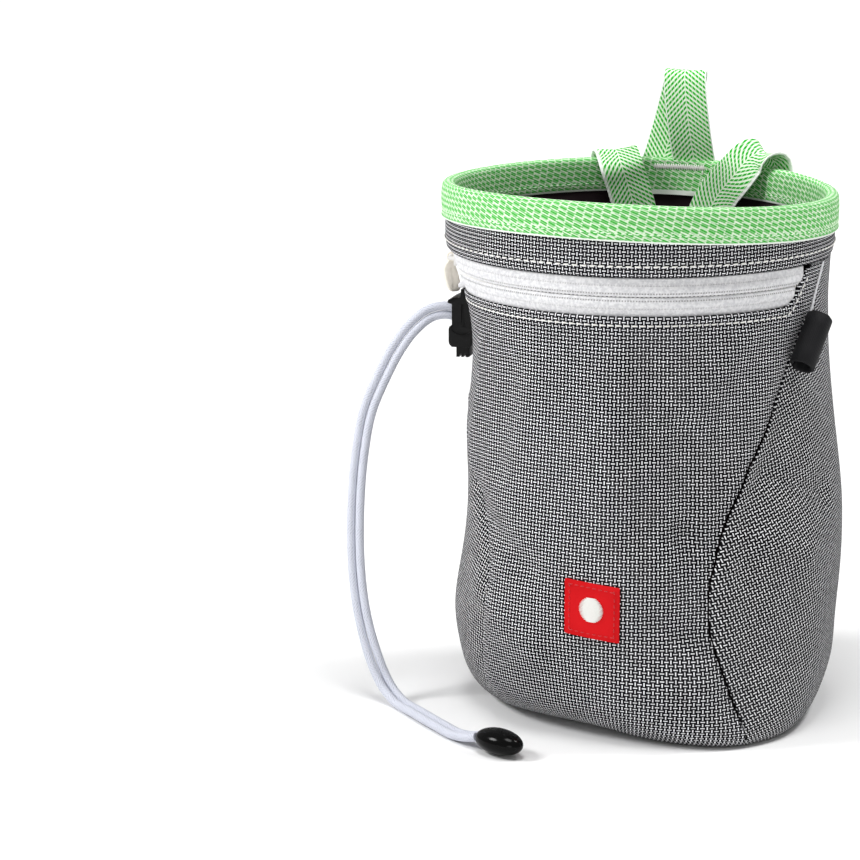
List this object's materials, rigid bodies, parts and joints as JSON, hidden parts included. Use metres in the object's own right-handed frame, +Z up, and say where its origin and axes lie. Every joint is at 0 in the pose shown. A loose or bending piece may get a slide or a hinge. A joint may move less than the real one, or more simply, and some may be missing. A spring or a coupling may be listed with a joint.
{
  "type": "climbing chalk bag",
  "caption": "Soft round chalk bag with a webbing rim, zipped front pocket, cord with a spring lock, brush loop, waist belt and hang loop.",
  "frame": {"origin": "on the floor that the bag stands on, under the centre of its round rim", "axes": "+Z up through the rim, the front with the zipped pocket faces -Y, +X to the right seen from the front"},
  "size_m": [0.1652, 0.1628, 0.2067],
  "materials": {
    "body_fabric": "coarse black and white woven cloth",
    "base_fabric": "plain black cloth",
    "binding_webbing": "green and white twill webbing",
    "belt_webbing": "green herringbone webbing with white selvedges",
    "lining_fabric": "soft brushed cloth, very dark maroon",
    "zip_tape": "white zip tape",
    "zip_metal": "white painted slider",
    "pull_plastic": "beige moulded pull",
    "black_plastic": "black moulded plastic",
    "black_webbing": "black ribbed grosgrain",
    "white_tape": "white tape",
    "cord": "pale bluish white braid",
    "label_cloth": "red woven label, bare of words"
  },
  "bodies": {
    "bag": {"base_panel": "base_fabric", "front_panel": "body_fabric", "gusset_right": "body_fabric", "gusset_left": "body_fabric", "back_panel": "body_fabric", "top_band": "body_fabric", "zip_tape_lower": "zip_tape", "zip_tape_upper": "zip_tape", "zip_slider": "zip_metal", "rim_binding": "binding_webbing", "hang_loop": "belt_webbing", "belt": "belt_webbing", "belt_keeper": "belt_webbing", "lining": "lining_fabric", "brush_loop": "black_webbing", "cord_lock_body": "black_plastic", "lock_strap": "white_tape", "draw_cord_a": "cord", "draw_cord_b": "cord", "cord_end": "black_plastic", "label": "label_cloth"},
    "pull": {"zip_pull": "pull_plastic"},
    "button": {"cord_lock_button": "black_plastic"}
  },
  "joints": [
    {"name": "zip_pull_swing", "type": "hinge", "parent": "bag", "child": "pull", "pos_m": [-0.06542, -0.00458, 0.1472], "axis": [-0.0698, 0.9976, 0], "range_deg": [0, 150]},
    {"name": "cord_lock_press", "type": "slide", "parent": "bag", "child": "button", "axis": [0, 0, 1], "range_m": [0, 0.003], "stiffness_N_per_m": 500, "springref_m": -0.002}
  ]
}
